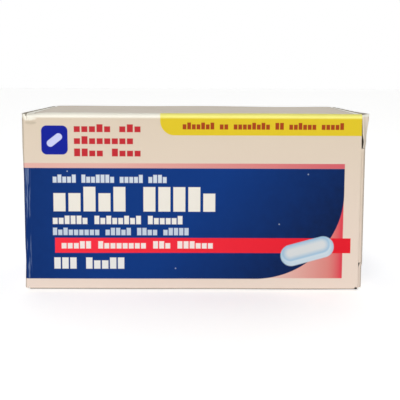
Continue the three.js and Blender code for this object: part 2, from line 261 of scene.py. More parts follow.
def bands(finish, along, ground, shown=1.0):
    """Stripe and field over the ground. shown is 0 where the print stops."""
    stripe = inside(STRIPE_TOP - finish.z) * inside(finish.z - FIELD_TOP) * inside(FIELD_RIGHT - along)
    stripe_ink = finish.mix(along.ramp(*STRIPE_REDDENS), ink("e2b1a6"), ink("d4626a"))
    colour = finish.mix(stripe * shown, ground, stripe_ink)
    return finish.mix(field_share(finish, along) * shown, colour, blue_ink(finish, along))


CORAL_RIGHT, CORAL_BOTTOM = 44.0, 3.6
CORAL_WARMS, CORAL_REDDENS = (22.0, 39.0), (39.0, 43.5)


def coral_corner(finish, colour):
    """Coral under and beside the field's round corner, reddest along its right edge."""
    x, z = finish.x, finish.z
    corner = inside(CORAL_RIGHT - x) * inside(z - CORAL_BOTTOM) * inside(x - FIELD_CORNER[0])
    corner = corner * inside(FIELD_CORNER[1] - z)
    coral = finish.mix(x.ramp(*CORAL_WARMS), ink("e6c4b8"), ink("dc8a82"))
    coral = finish.mix(x.ramp(*CORAL_REDDENS).power(1.4), coral, ink("dd4552"))
    return finish.mix(corner, colour, coral)


# Each row of blocks is its left end, foot, height, pitch, the number of blocks in each group, and its ink.
WORD_ROWS = (
    (-35.3, 47.0, 2.3, 2.2, (5, 3), "c02c34"),
    (-35.3, 43.5, 2.3, 2.2, (8,), "c02c34"),
    (-35.3, 39.9, 2.3, 2.2, (4, 4), "c02c34"),
    (-3.6, 47.9, 2.0, 1.35, (7, 2, 8, 2, 6, 5), "a5421a"),
    (-41.6, 32.1, 2.4, 1.4, (5, 7, 5, 4), "cfd8e2"),
    (-41.8, 23.6, 7.3, 4.4, (5, 5), "ece7dc"),
    (-41.8, 19.8, 2.5, 1.75, (6, 8, 6), "ece9e2"),
    (-41.8, 16.5, 2.2, 1.55, (9, 5, 4, 5), "c3cfdd"),
    (-39.3, 12.5, 2.2, 1.8, (5, 8, 3, 6), "f3e6df"),
    (-41.6, 6.4, 3.4, 2.35, (3, 5), "e9e8e4"),
)
BLOCK_WIDTH = 0.8
LOW_BLOCK = 0.74
TALL_FROM = 0.62


def word_blocks(finish, start, foot, height, pitch, groups):
    """1 on the plain blocks of a row, low or tall as they come, with a space between its groups."""
    along = finish.x - start
    cell = (along / pitch).whole()
    pick = finish.node("ShaderNodeTexWhiteNoise", {"noise_dimensions": "1D"}, W=cell + foot)
    top = height * (LOW_BLOCK + (1 - LOW_BLOCK) * pick.over(TALL_FROM))
    over = ((along - cell * pitch) - pitch / 2).size() - pitch * BLOCK_WIDTH / 2
    up = (finish.z - foot - top / 2).size() - top / 2
    length = (sum(groups) + len(groups) - 1) * pitch
    row = inside(-1 * over.at_least(up)) * inside(along) * inside(length - along)
    space = -1
    for blocks in groups[:-1]:
        space += blocks + 1
        row = row * (1 - cell.equals(float(space)))
    return row


BLEED = 20.0
BANNER = dict(left=-10.0, right=HALF_LENGTH + BLEED, bottom=46.13, top=HEIGHT + BLEED, corner=4.2)
RED_BAR = dict(left=-41.05, right=46.35, bottom=11.2, top=15.7)
BAR_REDDENS = 45.0
EMBLEM = dict(left=-44.6, right=-36.9, bottom=40.4, top=48.9, corner=1.6)
EMBLEM_BAR = dict(centre=(-40.75, 44.65), tilt=math.radians(38), half=1.5, radius=1.05)
CAPLET = dict(centre=(33.5, 11.8), tilt=math.radians(15.5), half=4.85, radius=3.2)
CAPLET_FACE = dict(lift=0.75, shift=0.15, half=4.8, radius=2.35)
CAPLET_RIM, CAPLET_BEVEL = 1.1, 1.5
CAPLET_UNDERSIDE = (-1.7, -3.1)


def capsule(u, v, half, radius):
    """How far inside a round-ended bar a point lies."""
    over = (u.size() - half).at_least(0.0)
    return radius - (over.power(2.0) + v.power(2.0)).power(0.5)


def tilted(finish, centre, tilt):
    """Places along and across a bar that is tilted on the front."""
    x, z = finish.x - centre[0], finish.z - centre[1]
    cos, sin = math.cos(tilt), math.sin(tilt)
    return x * cos + z * sin, z * cos - x * sin


def emblem(finish, colour):
    """A plain rounded tile with a round-ended bar."""
    colour = finish.mix(inside(panel(finish.x, finish.z, **EMBLEM)), colour, ink("101f96"))
    u, v = tilted(finish, EMBLEM_BAR["centre"], EMBLEM_BAR["tilt"])
    return finish.mix(inside(capsule(u, v, EMBLEM_BAR["half"], EMBLEM_BAR["radius"])), colour, ink("c9cdf2"))


def caplet_picture(finish, colour):
    """A caplet seen a little from above: its side, and its face with a soft bevel."""
    u, v = tilted(finish, CAPLET["centre"], CAPLET["tilt"])
    side = capsule(u, v, CAPLET["half"], CAPLET["radius"])
    face_u, face_v = u + CAPLET_FACE["shift"], v - CAPLET_FACE["lift"]
    face = capsule(face_u, face_v, CAPLET_FACE["half"], CAPLET_FACE["radius"])
    edge = finish.mix(side.ramp(0.0, CAPLET_RIM), ink("a9c7da"), ink("c9d9e3"))
    edge = finish.mix(v.ramp(*CAPLET_UNDERSIDE) * 0.5, edge, ink("dfe6ea"))
    colour = finish.mix(inside(side, softness=0.3), colour, edge)
    bevel = finish.mix(face.ramp(0.0, CAPLET_BEVEL).power(0.7), ink("86b7d8"), ink("d6dadb"))
    return finish.mix(inside(face, softness=0.5), colour, bevel)


# The wear and the painted light. A painted highlight with some rubbed varnish along the top front fold,
# painted highlights and a painted shade line at the ends of the top, a painted highlight and shadow on the
# crushed top left front corner, painted shade along the foot and the end folds, and a painted dark hole at
# the lower right corner. All of it is on the outer face, whichever piece of the board that is.
# Painted highlight, with some rubbed varnish: the pale of the lit folds and of the crushed corner.
RUB_AND_HIGHLIGHT = ink("fffcee")
# Painted highlight along the top front fold and the ends of the top.
TOP_HIGHLIGHT = 1.3
HIGHLIGHT_UNEVEN = 0.22
END_HIGHLIGHT, END_HIGHLIGHT_TAPER = 46.7, 0.028
# The painted shade line beside the ends of the top.
SHADE_LINE_PLACE, SHADE_LINE_HALF, SHADE_LINE_DEPTH = 0.3, 0.2, 0.25
# Painted highlight on the crushed corner, and a painted shadow under it.
CRUMPLE, CRUMPLE_SIZE = (-48.2, 50.95), (2.1, 0.75)
CRUMPLE_SHADOW, CRUMPLE_SHADOW_SIZE = (-47.7, 49.65), (2.0, 0.6)
RAGGED = 0.8
STREAKED = (-49.4, -48.1)
# Painted shade: a contact shadow along the foot, and darker end folds near the front.
SHADOW_FOOT = 0.42
FOLD_SHADE_FROM, FOLD_SHADE_DEPTH = 49.7, 2.2
SPECKS, SPECK_RADIUS = ((33.4, 34.8), (25.1, 19.9), (-5.5, 6.5), (-37.2, 35.5)), 0.2
# A painted dark hole of shade at the lower right corner.
HOLE_SHADE, HOLE_SHADE_RADIUS = (48.25, 0.5), 0.4


def top_highlights_and_shade(finish, colour, front, highlight_tint):
    """Painted highlight, with some rub, along the top front fold and the top's ends; a painted shade line
    beside the ends.
    """
    x, y, z = finish.x, finish.y, finish.z
    patches = (1 - HIGHLIGHT_UNEVEN) + finish.grain(0.25, detail=3.0) * HIGHLIGHT_UNEVEN
    colour = finish.mix(front * inside(z - (HEIGHT - TOP_HIGHLIGHT), softness=0.5) * patches, colour, highlight_tint)
    end = x.size() - END_HIGHLIGHT - (y + HALF_DEPTH) * END_HIGHLIGHT_TAPER
    top_end = inside(end, softness=0.3) * inside(z - (HEIGHT - FOLD_RADIUS), softness=0.3) * (1 - front)
    colour = finish.mix(top_end * 0.95, colour, RUB_AND_HIGHLIGHT)
    # A painted shade line beside the painted highlight at the ends of the top.
    shade_line = inside(SHADE_LINE_HALF - (end + SHADE_LINE_PLACE).size(), softness=0.2)
    shade_line = shade_line * inside(z - (HEIGHT - SHADE_LINE_DEPTH), softness=0.2) * (1 - front)
    return finish.mix(shade_line * 0.4, colour, ink("6b6557"))


def oval(finish, centre, size):
    """1 on the rim of an upright oval on the front, and less inside it."""
    return ((finish.x - centre[0]) / size[0]).power(2.0) + ((finish.z - centre[1]) / size[1]).power(2.0)


def crumpled_corner(finish, colour, front):
    """A painted highlight where the corner is crushed, and a painted shadow under it, both with a ragged rim.
    """
    ragged = (finish.grain(0.9, detail=3.0) * 2 - 1) * RAGGED
    crush_highlight = oval(finish, CRUMPLE, CRUMPLE_SIZE) + ragged
    colour = finish.mix((1.2 - crush_highlight).clamped() * front * 0.85, colour, RUB_AND_HIGHLIGHT)
    shadow = oval(finish, CRUMPLE_SHADOW, CRUMPLE_SHADOW_SIZE) + ragged
    return finish.mix((1.0 - shadow).clamped() * front * 0.3, colour, ink("8a8062"))


def streaked_fold(finish, colour, front):
    """Fine pale streaks down the left front fold, where the blue is cracked."""
    streaks = finish.grain(1.3, detail=4.0, stretch=(2.2, 1.0, 0.16)).ramp(1 / 2, 2 / 3)
    fold = inside(STREAKED[1] - finish.x, softness=0.5) * inside(finish.x - STREAKED[0], softness=0.3)
    blue = inside(FIELD_TOP - finish.z, softness=1.0) * inside(finish.z - FIELD_BOTTOM, softness=1.0)
    return finish.mix(streaks * fold * front * blue * 0.4, colour, ink("9fb4d2"))


def shaded_foot_and_folds(finish, colour, front):
    """Painted shade: a contact shadow along the foot of the front, and darker end folds near the front."""
    foot = inside(SHADOW_FOOT - finish.z, softness=0.4) * front
    colour = finish.mix(foot * 0.8, colour, ink("4d463b"))
    near_front = inside(FOLD_SHADE_DEPTH - HALF_DEPTH - finish.y, softness=1.0)
    fold_shade = inside(finish.x.size() - FOLD_SHADE_FROM, softness=0.3) * near_front
    return finish.mix(fold_shade * 0.4, colour, ink("5f5a4f"))


def spot(finish, colour, front, place, radius, softness, tint, share=1.0):
    """A round mark on the front."""
    away = ((finish.x - place[0]).power(2.0) + (finish.z - place[1]).power(2.0)).power(0.5)
    return finish.mix(inside(radius - away, softness) * front * share, colour, ink(tint))


def wear_and_painted_light(finish, colour, highlight_tint=RUB_AND_HIGHLIGHT):
    """All the wear and painted light over a print. The last argument is the painted highlight's colour on the
    top front fold.
    """
    front = inside(-HALF_DEPTH + FOLD_RADIUS - finish.y, softness=0.5)
    colour = top_highlights_and_shade(finish, colour, front, highlight_tint)
    colour = crumpled_corner(finish, colour, front)
    colour = streaked_fold(finish, colour, front)
    colour = shaded_foot_and_folds(finish, colour, front)
    for place in SPECKS:
        colour = spot(finish, colour, front, place, SPECK_RADIUS, PRINT_EDGE, "c9d6e6", share=0.55)
    # A painted dark hole of shade at the lower right corner.
    return spot(finish, colour, front, HOLE_SHADE, HOLE_SHADE_RADIUS, 0.3, "14120f")


# The sleeve. One blank of the board goes round the bottle: glue lap, back, top, front and bottom, with a dust
# flap at each end of the top and the bottom. The lap is glued inside the back's lower edge.
LAP_WIDTH = 12.0
GLUE_LINE = 0.05
LAP_FACE = BOARD + GLUE_LINE
LAP_INSET = 0.4
LAP_END_CUT = 3.0
DUST_GAP = 0.3
DUST_FACE = HALF_LENGTH - BOARD - DUST_GAP
DUST_LENGTH = 19.0
TUCK_SIDE = ((8.0, 21.95), (DUST_LENGTH, 16.95))
HINGE_SIDE = ((1.95, 23.5), (DUST_LENGTH, 20.5))
QUARTER = math.pi / 2
QUARTER_FOLD = FOLD_RADIUS * QUARTER
PANEL_PITCH = 2.5
LENGTH_STEPS, DROP_STEPS = 20, 4
SHARP_EDGE = math.radians(50)
BOW, BOW_FADE = 0.22, 8.0
BOW_ALONG, BOW_ACROSS = 0.03, 0.05
CRUSH_DEPTH, CRUSH_LENGTH, CRUSH_WIDTH = 0.5, 2.4, 1.6
ON_LINE, NEARLY, CUT_PLAY = 1e-6, 1e-4, 0.01


def between(start, end, steps):
    """Evenly spaced places from start, without the end."""
    return [start + (end - start) * i / steps for i in range(steps)]


def apart(places, least=0.02):
    """The places in order, without those that all but meet."""
    kept = []
    for place in sorted(places):
        if not kept or place - kept[-1] > least:
            kept.append(place)
    return kept


def sheet_blank(cuts_u, cuts_v):
    """A flat blank in u and v, cut into a lattice at every place in both lists."""
    bm = bmesh.new()
    corners = ((0, 0), (-1, 0), (-1, -1), (0, -1))
    bm.faces.new([bm.verts.new((cuts_u[i], cuts_v[j], 0)) for i, j in corners])
    for places, normal in ((cuts_u, Vector((1, 0, 0))), (cuts_v, Vector((0, 1, 0)))):
        for place in places[1:-1]:
            blank = bm.verts[:] + bm.edges[:] + bm.faces[:]
            bmesh.ops.bisect_plane(bm, geom=blank, dist=ON_LINE, plane_co=normal * place, plane_no=normal)
    return bm


def cut_away(bm, is_waste):
    waste = [face for face in bm.faces if is_waste(face.calc_center_median())]
    bmesh.ops.delete(bm, geom=waste, context="FACES")


def trim(bm, start, end, waste_side, is_near):
    """Cuts the blank along the line from start to end, near it only, and drops the waste side."""
    line = Vector(end) - Vector(start)
    normal = Vector((-line.y, line.x, 0)).normalized() * waste_side
    faces = [face for face in bm.faces if is_near(face.calc_center_median())]
    edges = {edge for face in faces for edge in face.edges}
    verts = {vert for face in faces for vert in face.verts}
    bmesh.ops.bisect_plane(
        bm,
        geom=[*verts, *edges, *faces],
        dist=ON_LINE,
        plane_co=Vector((*start, 0)),
        plane_no=normal,
        clear_outer=True,
    )


def board_piece(name, bm, outside, node=None, body=None):
    """Turns a folded blank of the board's outer face into a finished piece on its body."""
    bmesh.ops.scale(bm, vec=(METRE, METRE, METRE), verts=bm.verts)
    mesh = bpy.data.meshes.new(name)
    bm.to_mesh(mesh)
    bm.free()
    mesh.shade_smooth()
    piece = bpy.data.objects.new(name, mesh)
    bpy.context.scene.collection.objects.link(piece)
    for material in (outside, board_inside.material, raw_edge.material):
        mesh.materials.append(material)
    wall = piece.modifiers.new("board", "SOLIDIFY")
    wall.thickness = BOARD * METRE
    wall.offset = -1
    wall.use_even_offset = True
    wall.material_offset = 1
    wall.material_offset_rim = 2
    edges = piece.modifiers.new("cut edges", "EDGE_SPLIT")
    edges.split_angle = SHARP_EDGE
    if body:
        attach(piece, body)
    if node:
        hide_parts(node)
    return piece


class BoardPath:
    """The outer face of the folded board, seen along its folds: straight runs with left turns between."""

    def __init__(self, start, heading, steps):
        self.parts = []
        place, angle, passed = Vector(start), heading, 0.0
        for ahead, turn in steps:
            along = Vector((math.cos(angle), math.sin(angle)))
            self.parts.append((passed, place.copy(), angle, 0.0))
            place += along * ahead
            passed += ahead
            if turn:
                self.parts.append((passed, place.copy(), angle, 1 / FOLD_RADIUS))
                centre = place + Vector((-along.y, along.x)) * FOLD_RADIUS
                angle += turn
                place = centre + Vector((math.sin(angle), -math.cos(angle))) * FOLD_RADIUS
                passed += FOLD_RADIUS * turn
        self.length = passed

    def at(self, distance):
        """Place on the face and the direction out of it."""
        passed, place, angle, bend = [part for part in self.parts if part[0] <= distance + ON_LINE][-1]
        ahead = distance - passed
        turned = angle + ahead * bend
        if bend:
            centre = place + Vector((-math.sin(angle), math.cos(angle))) / bend
            place = centre + Vector((math.sin(turned), -math.cos(turned))) / bend
        else:
            place = place + Vector((math.cos(angle), math.sin(angle))) * ahead
        return place, Vector((math.sin(turned), -math.cos(turned)))

    def cuts(self, pitch):
        """Where the blank is cut so that it can bend: close together on the folds."""
        places = []
        for (start, _, _, bend), following in zip(self.parts, [*self.parts[1:], (self.length,)]):
            run = following[0] - start
            places += between(start, following[0], FOLD_STEPS if bend else max(1, round(run / pitch)))
        return [*places, self.length]


girth = BoardPath(
    (HALF_DEPTH - LAP_WIDTH, LAP_FACE),
    0.0,
    (
        (LAP_WIDTH - FOLD_RADIUS, QUARTER),
        (HEIGHT - LAP_FACE - 2 * FOLD_RADIUS, QUARTER),
        (2 * (HALF_DEPTH - FOLD_RADIUS), QUARTER),
        (HEIGHT - 2 * FOLD_RADIUS, QUARTER),
        (2 * HALF_DEPTH - FOLD_RADIUS - LAP_INSET, 0.0),
    ),
)
PANEL_MIDDLE = HALF_DEPTH - FOLD_RADIUS
top_middle, bottom_middle = (girth.parts[i][0] + PANEL_MIDDLE for i in (4, 8))
FOLD_START = DUST_FACE - FOLD_RADIUS
DROP_START = FOLD_START + QUARTER_FOLD - FOLD_RADIUS
dust_corners = [
    (side, middle, side * tuck_side)
    for side in (-1, 1)
    for middle, tuck_side in ((top_middle, 1), (bottom_middle, -1))
]
girth_cuts = apart(
    girth.cuts(PANEL_PITCH)
    + [middle + toward * TUCK_SIDE[0][1] for _, middle, toward in dust_corners]
    + [middle - toward * HINGE_SIDE[0][1] for _, middle, toward in dust_corners]
)
half_cuts = [
    *between(0.0, FOLD_START, LENGTH_STEPS),
    *between(FOLD_START, FOLD_START + QUARTER_FOLD, FOLD_STEPS),
    *(DROP_START + drop for drop in (FOLD_RADIUS, HINGE_SIDE[0][0], TUCK_SIDE[0][0])),
    *between(DROP_START + TUCK_SIDE[0][0], DROP_START + DUST_LENGTH, DROP_STEPS),
    DROP_START + DUST_LENGTH,
    PANEL_END,
]
length_cuts = apart([*half_cuts, *(-cut for cut in half_cuts)])


def dust_flap_at(u, v):
    """The dust flap that a point of the blank belongs to: its side, middle and the way to its tuck side."""
    for side, middle, toward in dust_corners:
        across = (v - middle) * toward
        on_flap = -HINGE_SIDE[0][1] - CUT_PLAY <= across <= TUCK_SIDE[0][1] + CUT_PLAY
        if on_flap and u * side > FOLD_START + NEARLY:
            return side, middle, toward
    return None


def is_sleeve_waste(centre):
    if dust_flap_at(centre.x, centre.y):
        return False
    return abs(centre.x) > PANEL_END


def trim_dust_flaps(bm):
    for side, middle, toward in dust_corners:
        for (drop, edge), (tip_drop, tip_edge), way in ((*TUCK_SIDE, toward), (*HINGE_SIDE, -toward)):
            start = (side * (DROP_START + drop), middle + way * edge)
            end = (side * (DROP_START + tip_drop), middle + way * tip_edge)
            flap, nearest = (side, middle, toward), abs(start[0]) - CUT_PLAY
            trim(bm, start, end, side * way, lambda c: dust_flap_at(c.x, c.y) == flap and abs(c.x) > nearest)


def trim_lap(bm):
    """Slants the ends of the glue lap and frees them from the fold."""
    root = LAP_WIDTH - FOLD_RADIUS
    for side in (-1, 1):
        start = (side * (PANEL_END - 2 * LAP_END_CUT), 0.0)
        end = (side * (PANEL_END - LAP_END_CUT), root)
        trim(bm, start, end, -side, lambda c: c.y < root and c.x * side > PANEL_END / 2)
    cut_away(bm, lambda c: root < c.y < LAP_WIDTH and abs(c.x) > PANEL_END - LAP_END_CUT)


def panel_bow(x, place):
    """How far the board bows out, less what is crushed at the top left front corner."""
    wave = noise.noise(Vector((x * BOW_ALONG, place.x * BOW_ACROSS, place.y * BOW_ACROSS)))
    fade = min(1.0, max(0.0, FOLD_START - abs(x)) / BOW_FADE)
    from_corner = (place - Vector((-HALF_DEPTH, HEIGHT))).length / CRUSH_WIDTH
    crushed = math.exp(-(((x - CRUMPLE[0]) / CRUSH_LENGTH) ** 2) - from_corner**2)
    return wave * BOW * fade - CRUSH_DEPTH * crushed


def fold_sleeve(bm):
    """Folds the blank round and its dust flaps in, with the foot no lower than the floor."""
    for vert in bm.verts:
        u, v, _ = vert.co
        place, out = girth.at(v)
        flap = dust_flap_at(u, v)
        if flap:
            past = abs(u) - FOLD_START
            bend = min(past, QUARTER_FOLD) / FOLD_RADIUS
            place -= out * (FOLD_RADIUS * (1 - math.cos(bend)) + max(0.0, past - QUARTER_FOLD))
            u = flap[0] * (FOLD_START + FOLD_RADIUS * math.sin(bend))
        else:
            place += out * panel_bow(u, place)
        vert.co = (u, place.x, max(0.0, place.y))
    bmesh.ops.reverse_faces(bm, faces=bm.faces)


# The back has the front's two bands, read from its own left end, and the top and the bottom have none.
panel_print = varnished("print on the panels")
at_back = inside(panel_print.y, softness=1.0)
along_panel = panel_print.x * (1 - 2 * at_back)
ground = cream(panel_print)
at_front = inside(-HALF_DEPTH + FOLD_RADIUS - panel_print.y, softness=0.4)
on_wall = inside(panel_print.y.size() - (HALF_DEPTH - FOLD_RADIUS))
banner = inside(panel(panel_print.x, panel_print.z, **BANNER))
bar = inside(panel(panel_print.x, panel_print.z, **RED_BAR))
bar_ink = panel_print.mix(panel_print.x.ramp(-BAR_REDDENS, BAR_REDDENS), ink("fb3144"), ink("e31b2b"))
front_print = bands(panel_print, along_panel, coral_corner(panel_print, ground))
front_print = panel_print.mix(banner, front_print, ink("dfc42a"))
front_print = panel_print.mix(bar, front_print, bar_ink)
for *row, tint in WORD_ROWS:
    front_print = panel_print.mix(word_blocks(panel_print, *row), front_print, ink(tint))
front_print = caplet_picture(panel_print, emblem(panel_print, front_print))
other_print = bands(panel_print, along_panel, ground, on_wall)
# Painted highlight along the top front fold: pale yellow on the banner.
banner_fold_highlight = panel_print.mix(banner, RUB_AND_HIGHLIGHT, ink("fffa8c"))
printed = panel_print.mix(at_front, other_print, front_print)
panel_print.feed(Base_Color=wear_and_painted_light(panel_print, printed, banner_fold_highlight))

sleeve_blank = sheet_blank(length_cuts, girth_cuts)
cut_away(sleeve_blank, is_sleeve_waste)
trim_dust_flaps(sleeve_blank)
trim_lap(sleeve_blank)
fold_sleeve(sleeve_blank)
board_piece("carton_sleeve_board", sleeve_blank, panel_print.material, "carton_sleeve", "carton")


# The bottle. Blow-moulded in white polyethylene, with a parting line from the two halves of its mould, a
# pushed-up base, a recess for the label and a thread on its neck. It lies on the bottom panel of the sleeve.
BOTTLE_AXIS = (-0.747, 23.75)
TURNED_EDGE = math.radians(32)
SAME_POINT, SAME_FACE = 0.002, math.radians(0.5)
PARTING_HALF = 0.2


def turned_piece(node, finish, body, edge_radius):
    """A moulded piece: the solid's own form, with its round faces smooth and its sharp edges eased."""
    bm = bmesh.new()
    bm.from_mesh(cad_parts[node].data)
    bmesh.ops.remove_doubles(bm, verts=bm.verts, dist=SAME_POINT * METRE)
    bmesh.ops.dissolve_limit(bm, angle_limit=SAME_FACE, verts=bm.verts, edges=bm.edges)
    sharp = [edge for edge in bm.edges if len(edge.link_faces) == 2 and edge.calc_face_angle() > TURNED_EDGE]
    if edge_radius:
        bmesh.ops.bevel(
            bm,
            geom=sharp,
            offset=edge_radius * METRE,
            affect="EDGES",
            segments=2,
            profile=0.5,
            material=-1,
            clamp_overlap=True,
        )
    mesh = bpy.data.meshes.new(node + "_finished")
    bm.to_mesh(mesh)
    bm.free()
    mesh.shade_smooth()
    mesh.materials.append(finish.material)
    piece = bpy.data.objects.new(node + "_finished", mesh)
    bpy.context.scene.collection.objects.link(piece)
    creases = piece.modifiers.new("moulded edges", "EDGE_SPLIT")
    creases.split_angle = TURNED_EDGE
    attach(piece, body)
    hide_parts(node)


def moulded(name, light, shade, **settings):
    """White plastic with a faint cloudiness in its white and its gloss."""
    finish = Finish(name, **settings)
    cloud = finish.grain(0.12, detail=4.0)
    finish.feed(Roughness=0.36 + cloud * 0.16)
    return finish, finish.mix(cloud, ink(shade), ink(light))


bottle_plastic, bottle_white = moulded("bottle polyethylene", "f6f6f2", "e9e9e3", Specular_IOR_Level=0.4)
parting = inside(PARTING_HALF - (bottle_plastic.y - BOTTLE_AXIS[0]).size(), softness=0.15)
bottle_plastic.feed(Base_Color=bottle_plastic.mix(parting * 0.35, bottle_white, ink("d4d4cc")))
mould_grain = bottle_plastic.grain(3.5, detail=2.0)
bottle_plastic.bump(mould_grain * 0.3 + parting, strength=0.35, distance=0.08)
turned_piece("bottle", bottle_plastic, "carton", 0.0)


# The bottle's label. Coated paper printed in the carton's colours, wrapped round the recess and glued, with
# its ends short of each other. The rows of fine print are plain lines.
LABEL_LEFT, LABEL_RIGHT = (corner.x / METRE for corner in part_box("bottle_label"))
LABEL_STRIPE, LABEL_END, LABEL_MARGIN, LABEL_EDGE = 2.6, 11.0, 2.0, 1.0
LINE_PITCH, LINE_HALF = 1.9, 0.16

label_print = varnished("print on the bottle's label")
from_left = label_print.x - LABEL_LEFT
to_right = LABEL_RIGHT - label_print.x
label_colour = label_print.mix(label_print.grain(0.5, detail=2.0) * 0.3, ink("062f72"), ink("0b3b86"))
label_colour = label_print.mix(inside(LABEL_END + LABEL_STRIPE - to_right), label_colour, ink("dd8f8b"))
label_colour = label_print.mix(inside(LABEL_END - to_right), label_colour, ink("ece3d4"))
fine_print = inside(LABEL_END - LABEL_MARGIN - to_right) * inside(to_right - LABEL_MARGIN)
line_place = label_print.z / LINE_PITCH
line = inside(LINE_HALF - (line_place - line_place.whole() - 0.5).size(), softness=0.08)
label_colour = label_print.mix(fine_print * line * 0.7, label_colour, ink("56606e"))
label_colour = label_print.mix(inside(LABEL_EDGE - from_left), label_colour, ink("ece3d4"))
label_print.feed(Base_Color=label_colour)
turned_piece("bottle_label", label_print, "carton", 0.0)


# The seal. Aluminium foil with a heat-seal coat, bonded over the bottle's mouth: bright, and a little
# wrinkled by the sealing head.
seal_foil = Finish("seal foil", Metallic=1.0)
wrinkles = seal_foil.grain(0.45, detail=5.0)
seal_foil.feed(Roughness=0.22 + wrinkles * 0.2)
seal_foil.feed(Base_Color=seal_foil.mix(wrinkles, ink("b9babd"), ink("dcdddf")))
seal_foil.bump(wrinkles, strength=0.5, distance=0.2)
turned_piece("foil_seal", seal_foil, "carton", 0.0)


# The liner. A disc of pressed pulp, punched from sheet. It lies inside the inner cap and bears on the foil
# over the bottle's mouth.
pulp_disc = Finish("pressed pulp", Roughness=0.92, Specular_IOR_Level=0.2)
matting = pulp_disc.grain(1.8, detail=6.0)
pulp_disc.feed(Base_Color=pulp_disc.mix(matting, ink("c9bda6"), ink("e6ddcb")))
pulp_disc.bump(matting, strength=0.5, distance=0.12)
turned_piece("cap_liner", pulp_disc, "carton", 0.0)


# The cap. Two injection-moulded cups of white polypropylene: the inner one has the thread, and the ribbed
# outer one snaps over it and turns freely until it is pressed down on to the inner one's teeth.
GATE_RADIUS = 1.3
RIB_EASE = 0.06


def cap_finish(name, light, shade):
    """White plastic with the small round mark of its gate in the middle."""
    finish, white = moulded(name, light, shade, Specular_IOR_Level=0.45)
    from_axis = (finish.y - BOTTLE_AXIS[0]).power(2.0) + (finish.z - BOTTLE_AXIS[1]).power(2.0)
    gate = inside(GATE_RADIUS - from_axis.power(0.5), softness=0.4)
    finish.feed(Base_Color=finish.mix(gate * 0.3, white, ink("dcdcd6")))
    finish.bump(finish.grain(4.5, detail=2.0) * 0.25 - gate, strength=0.3, distance=0.08)
    return finish


inner_plastic = cap_finish("inner cap plastic", "eeeeea", "e2e2dc")
outer_plastic = cap_finish("outer cap plastic", "f8f8f5", "eeeeea")
turned_piece("inner_cap", inner_plastic, "carton", 0.0)
turned_piece("outer_cap", outer_plastic, "cap_shell", RIB_EASE)


# The end flaps. Each is board that closes one end, hinged on the front at the left and on the back at the
# right, and its tuck goes in behind the panel across. The tuck's fold is slit at both ends, which leaves raw
# shoulders beside it. The right flap has sprung open a little at its top.
TUCK_LENGTH = 11.0
TUCK_GAP = 0.3
TUCK_CORNER = 8.0
TUCK_CORNER_CUTS = 7
TUCK_RELIEF = 0.9
CLOSING_RELIEF = 0.5
LOW_SLIT, HIGH_SLIT = 8.0, HEIGHT - 10.0
SLIT_END = 0.15
SLIT_BACK = 0.35
SHOULDER = 1.35
LIP_TURN = SHOULDER / FOLD_RADIUS
SPRUNG, SPRUNG_RUN, SPRUNG_FOLD = 2.5, 22.0, 2.9
HELD_OPEN, HELD_TURN = 0.32, 0.38
LOW_FOLD = 0.45
RIGHT_BULGE, RIGHT_RUN = 0.3, 20.0
LEFT_RUN, LEFT_FADE, LEFT_FADED = 2.0, 40.0, 0.7
LEFT_BULGE, TOP_BULGE, TOP_FROM, TOP_RUN = 0.1, 0.32, 34.0, 8.0
FOOT_BULGE, DENT, DENT_LEVEL, DENT_REACH = 0.25, 0.25, 9.0, 3.0
FLAP_WAVES, FLAP_SEED = 0.06, 9.0
FLAP_STEPS = 26
FLAP_TOP = HEIGHT - 0.1
CORNER_DROP, CORNER_REACH = 0.35, 2.2
FLAP_MARGIN = 3.2
# Reach of the painted light on the sprung shoulder's lip.
LIT_SHOULDER_REACH = 3.4
tuck_swing = 2 * HALF_DEPTH - TUCK_GAP - BOARD
tuck_drop = tuck_swing - math.sqrt(tuck_swing**2 - TUCK_LENGTH**2)
tuck_lean = math.atan2(tuck_drop, TUCK_LENGTH)
tuck_root = Vector((HALF_LENGTH - FOLD_RADIUS, -HALF_DEPTH + BOARD + TUCK_GAP + FOLD_RADIUS))
fold_entry = tuck_root - Vector((math.sin(tuck_lean), math.cos(tuck_lean))) * FOLD_RADIUS
tuck_tip = fold_entry + Vector((-math.cos(tuck_lean), math.sin(tuck_lean))) * TUCK_LENGTH
closing_run = HALF_DEPTH - FOLD_RADIUS - tuck_root.y
closure = BoardPath(tuck_tip, -tuck_lean, ((TUCK_LENGTH, QUARTER + tuck_lean), (closing_run, QUARTER)))
FOLD_END = closure.parts[2][0]
SHOULDER_EDGE = FOLD_END - SHOULDER
TUCK_LOW, TUCK_HIGH = BOARD + TUCK_RELIEF, HEIGHT - BOARD - TUCK_RELIEF


def in_slit(v):
    return v < LOW_SLIT or v > HIGH_SLIT


def is_flap_waste(centre):
    u, v = centre.x, centre.y
    if u > FOLD_END:
        return False
    if u < TUCK_LENGTH and not TUCK_LOW < v < TUCK_HIGH:
        return True
    if in_slit(v):
        return TUCK_LENGTH - SLIT_BACK < u < SHOULDER_EDGE
    beside = v < LOW_SLIT + SLIT_END or v > HIGH_SLIT - SLIT_END
    return beside and u > TUCK_LENGTH - SLIT_BACK


def round_tuck(bm):
    """Rounds the corners of the tuck's free edge with cuts along tangents."""
    for edge, inward in ((TUCK_LOW, 1), (TUCK_HIGH, -1)):
        centre = Vector((TUCK_CORNER, edge + inward * TUCK_CORNER))
        for i in range(TUCK_CORNER_CUTS):
            angle = QUARTER * (i + 0.5) / TUCK_CORNER_CUTS
            normal = Vector((-math.cos(angle), -inward * math.sin(angle)))
            touch = centre + normal * TUCK_CORNER
            end = touch + Vector((normal.y, -normal.x))
            trim(bm, touch, end, 1, lambda c: c.x < TUCK_CORNER and (c.y - centre.y) * inward < 0)


